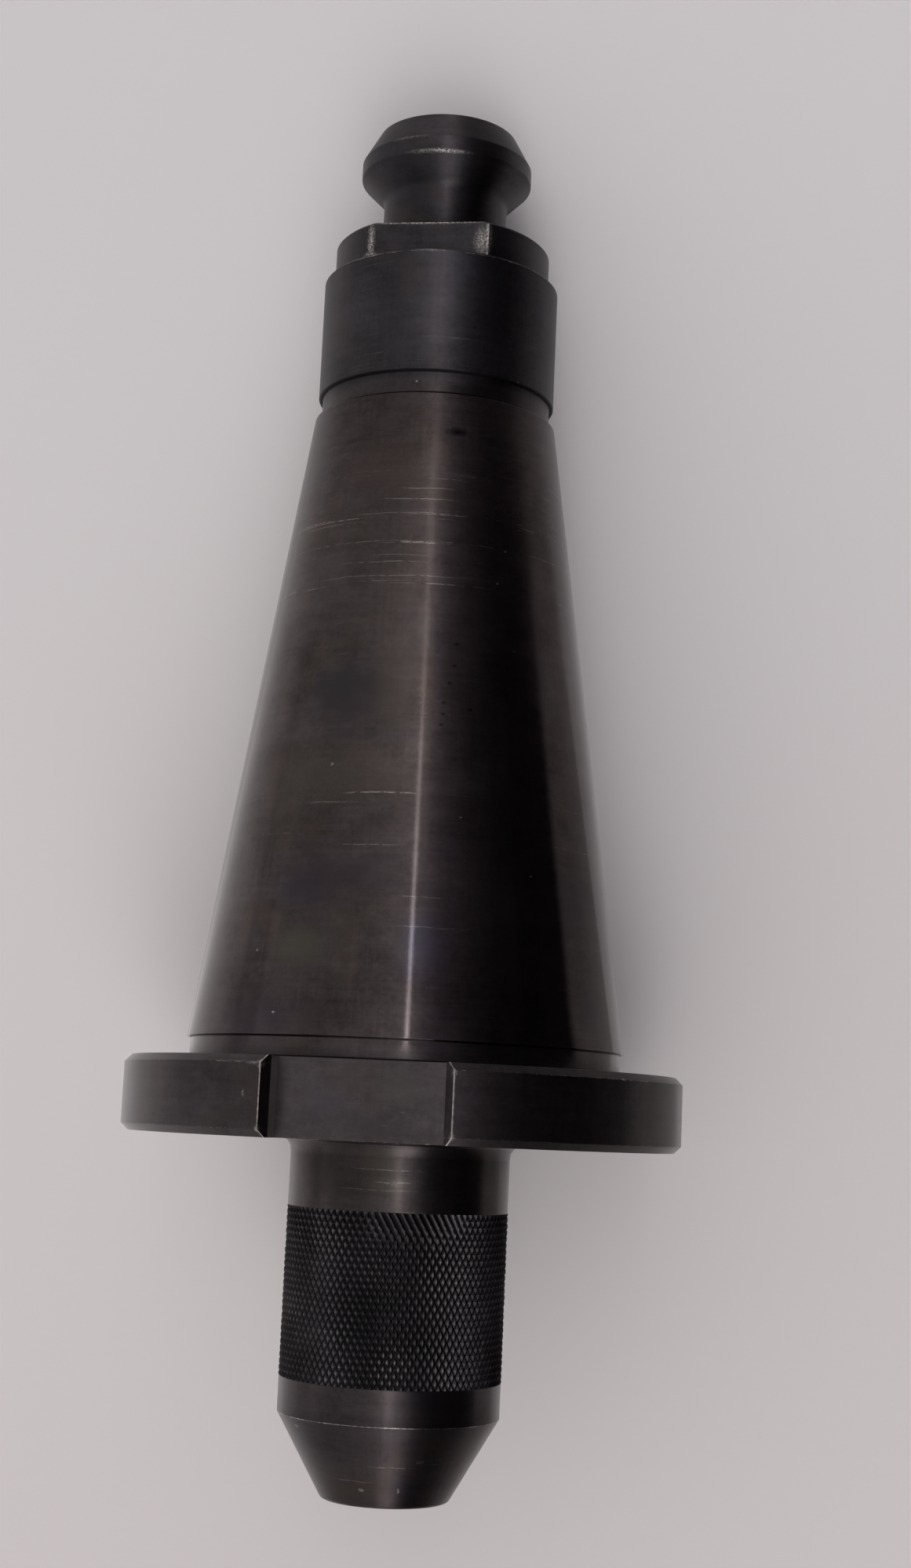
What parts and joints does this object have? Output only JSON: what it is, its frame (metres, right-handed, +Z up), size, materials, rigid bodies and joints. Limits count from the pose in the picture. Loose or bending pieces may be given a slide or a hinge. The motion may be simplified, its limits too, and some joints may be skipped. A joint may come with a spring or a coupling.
{
  "type": "end mill holder",
  "caption": "Steep-taper tool holder lying on its side: slotted drive flange, knurled nose band with a coned end, cutter bore with a clamp screw, and a retention knob.",
  "frame": {"origin": "on the surface the holder lies on, under the middle of its bounding box", "axes": "+Y along the holder towards the retention knob, +Z up, +X to the right; the turning axis leans 9.8 degrees down towards the knob, as the holder comes to rest"},
  "size_m": [0.0888, 0.2238, 0.0848],
  "materials": {
    "holder_steel": "black oxide on turned and ground steel, with bright worn edges",
    "knob_steel": "black oxide on turned steel, worn at the wrench flats",
    "screw_steel": "black oxide socket screw"
  },
  "bodies": {
    "holder": {"holder_body": "holder_steel", "retention_knob": "knob_steel"},
    "clamp_screw": {"set_screw": "screw_steel"}
  },
  "joints": [
    {"name": "clamp_screw_travel", "type": "slide", "parent": "holder", "child": "clamp_screw", "axis": [0, 0.1703, 0.9854], "range_m": [-0.001, 0.003]}
  ]
}
